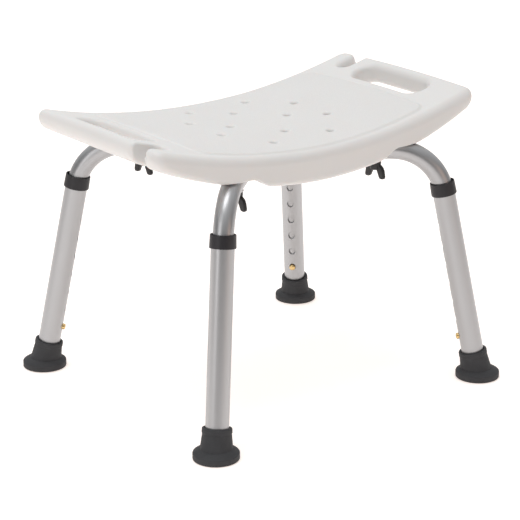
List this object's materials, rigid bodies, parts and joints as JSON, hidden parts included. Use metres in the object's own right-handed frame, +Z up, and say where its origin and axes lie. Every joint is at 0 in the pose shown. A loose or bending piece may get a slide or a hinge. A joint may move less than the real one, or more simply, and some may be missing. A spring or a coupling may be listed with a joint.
{
  "type": "bath transfer bench",
  "caption": "Backless bath stool: curved moulded seat with hand slots and drain holes on crossed aluminium tubes, with telescopic legs locked by spring buttons and rubber feet.",
  "frame": {"origin": "on the floor, under the middle of the seat", "axes": "+X along the seat's length, +Y across it, +Z up"},
  "size_m": [0.502, 0.4378, 0.3708],
  "materials": {
    "seat_plastic": "satin blow-moulded polyethylene, fine grain on the sitting panel",
    "aluminium": "satin anodised, drawn lengthways",
    "collar_plastic": "semi-matt moulded",
    "knob_plastic": "semi-matt moulded",
    "rubber": "matt moulded",
    "brass": "polished",
    "steel": "zinc plated"
  },
  "bodies": {
    "frame": {"seat": "seat_plastic", "cross_tube_front_left": "aluminium", "cross_tube_front_right": "aluminium", "centre_bolt": "steel", "centre_washer": "steel", "centre_nut": "steel", "seat_insert_front_left": "brass", "snap_spring_front_left": "steel", "seat_insert_front_right": "brass", "snap_spring_front_right": "steel", "seat_insert_rear_left": "brass", "snap_spring_rear_left": "steel", "seat_insert_rear_right": "brass", "snap_spring_rear_right": "steel"},
    "leg_front_left": {"lower_tube_front_left": "aluminium", "collar_front_left": "collar_plastic", "foot_front_left": "rubber", "foot_washer_front_left": "steel"},
    "button_front_left": {"snap_button_front_left": "brass"},
    "washer_front_left": {"knob_washer_front_left": "steel"},
    "screw_front_left": {"wing_knob_front_left": "knob_plastic", "knob_stud_front_left": "steel"},
    "leg_front_right": {"lower_tube_front_right": "aluminium", "collar_front_right": "collar_plastic", "foot_front_right": "rubber", "foot_washer_front_right": "steel"},
    "button_front_right": {"snap_button_front_right": "brass"},
    "washer_front_right": {"knob_washer_front_right": "steel"},
    "screw_front_right": {"wing_knob_front_right": "knob_plastic", "knob_stud_front_right": "steel"},
    "leg_rear_left": {"lower_tube_rear_left": "aluminium", "collar_rear_left": "collar_plastic", "foot_rear_left": "rubber", "foot_washer_rear_left": "steel"},
    "button_rear_left": {"snap_button_rear_left": "brass"},
    "washer_rear_left": {"knob_washer_rear_left": "steel"},
    "screw_rear_left": {"wing_knob_rear_left": "knob_plastic", "knob_stud_rear_left": "steel"},
    "leg_rear_right": {"lower_tube_rear_right": "aluminium", "collar_rear_right": "collar_plastic", "foot_rear_right": "rubber", "foot_washer_rear_right": "steel"},
    "button_rear_right": {"snap_button_rear_right": "brass"},
    "washer_rear_right": {"knob_washer_rear_right": "steel"},
    "screw_rear_right": {"wing_knob_rear_right": "knob_plastic", "knob_stud_rear_right": "steel"}
  },
  "joints": [
    {"name": "leg_slide_front_left", "type": "slide", "parent": "frame", "child": "leg_front_left", "axis": [-0.1454, -0.1303, -0.9808], "range_m": [0, 0.1524]},
    {"name": "leg_slide_front_right", "type": "slide", "parent": "frame", "child": "leg_front_right", "axis": [0.1454, -0.1303, -0.9808], "range_m": [0, 0.1524]},
    {"name": "leg_slide_rear_left", "type": "slide", "parent": "frame", "child": "leg_rear_left", "axis": [-0.1454, 0.1303, -0.9808], "range_m": [0, 0.1524]},
    {"name": "leg_slide_rear_right", "type": "slide", "parent": "frame", "child": "leg_rear_right", "axis": [0.1454, 0.1303, -0.9808], "range_m": [0, 0.1524]},
    {"name": "button_press_front_left", "type": "slide", "parent": "frame", "child": "button_front_left", "axis": [-0.7304, -0.6545, 0.1953], "range_m": [0, 0.0052], "stiffness_N_per_m": 1500, "springref_m": -0.002, "deforming": ["snap_spring_front_left"]},
    {"name": "button_press_front_right", "type": "slide", "parent": "frame", "child": "button_front_right", "axis": [0.7304, -0.6545, 0.1953], "range_m": [0, 0.0052], "stiffness_N_per_m": 1500, "springref_m": -0.002, "deforming": ["snap_spring_front_right"]},
    {"name": "button_press_rear_left", "type": "slide", "parent": "frame", "child": "button_rear_left", "axis": [-0.7304, 0.6545, 0.1953], "range_m": [0, 0.0052], "stiffness_N_per_m": 1500, "springref_m": -0.002, "deforming": ["snap_spring_rear_left"]},
    {"name": "button_press_rear_right", "type": "slide", "parent": "frame", "child": "button_rear_right", "axis": [0.7304, 0.6545, 0.1953], "range_m": [0, 0.0052], "stiffness_N_per_m": 1500, "springref_m": -0.002, "deforming": ["snap_spring_rear_right"]},
    {"name": "knob_drop_front_left", "type": "slide", "parent": "frame", "child": "washer_front_left", "axis": [0, 0, -1], "range_m": [0, 0.01]},
    {"name": "screw_turn_front_left", "type": "hinge", "parent": "washer_front_left", "child": "screw_front_left", "pos_m": [-0.11023, -0.09876, 0.2929], "axis": [0, 0, -1], "range_deg": [0, 3636]},
    {"name": "knob_drop_front_right", "type": "slide", "parent": "frame", "child": "washer_front_right", "axis": [0, 0, -1], "range_m": [0, 0.01]},
    {"name": "screw_turn_front_right", "type": "hinge", "parent": "washer_front_right", "child": "screw_front_right", "pos_m": [0.11023, -0.09876, 0.2929], "axis": [0, 0, -1], "range_deg": [0, 3636]},
    {"name": "knob_drop_rear_left", "type": "slide", "parent": "frame", "child": "washer_rear_left", "axis": [0, 0, -1], "range_m": [0, 0.01]},
    {"name": "screw_turn_rear_left", "type": "hinge", "parent": "washer_rear_left", "child": "screw_rear_left", "pos_m": [-0.11023, 0.09876, 0.2929], "axis": [0, 0, -1], "range_deg": [0, 3636]},
    {"name": "knob_drop_rear_right", "type": "slide", "parent": "frame", "child": "washer_rear_right", "axis": [0, 0, -1], "range_m": [0, 0.01]},
    {"name": "screw_turn_rear_right", "type": "hinge", "parent": "washer_rear_right", "child": "screw_rear_right", "pos_m": [0.11023, 0.09876, 0.2929], "axis": [0, 0, -1], "range_deg": [0, 3636]}
  ],
  "couplings": [
    {"joint": "screw_turn_front_left", "follows": "knob_drop_front_left", "rad_per_m": 6283.2},
    {"joint": "screw_turn_front_right", "follows": "knob_drop_front_right", "rad_per_m": 6283.2},
    {"joint": "screw_turn_rear_left", "follows": "knob_drop_rear_left", "rad_per_m": 6283.2},
    {"joint": "screw_turn_rear_right", "follows": "knob_drop_rear_right", "rad_per_m": 6283.2}
  ]
}
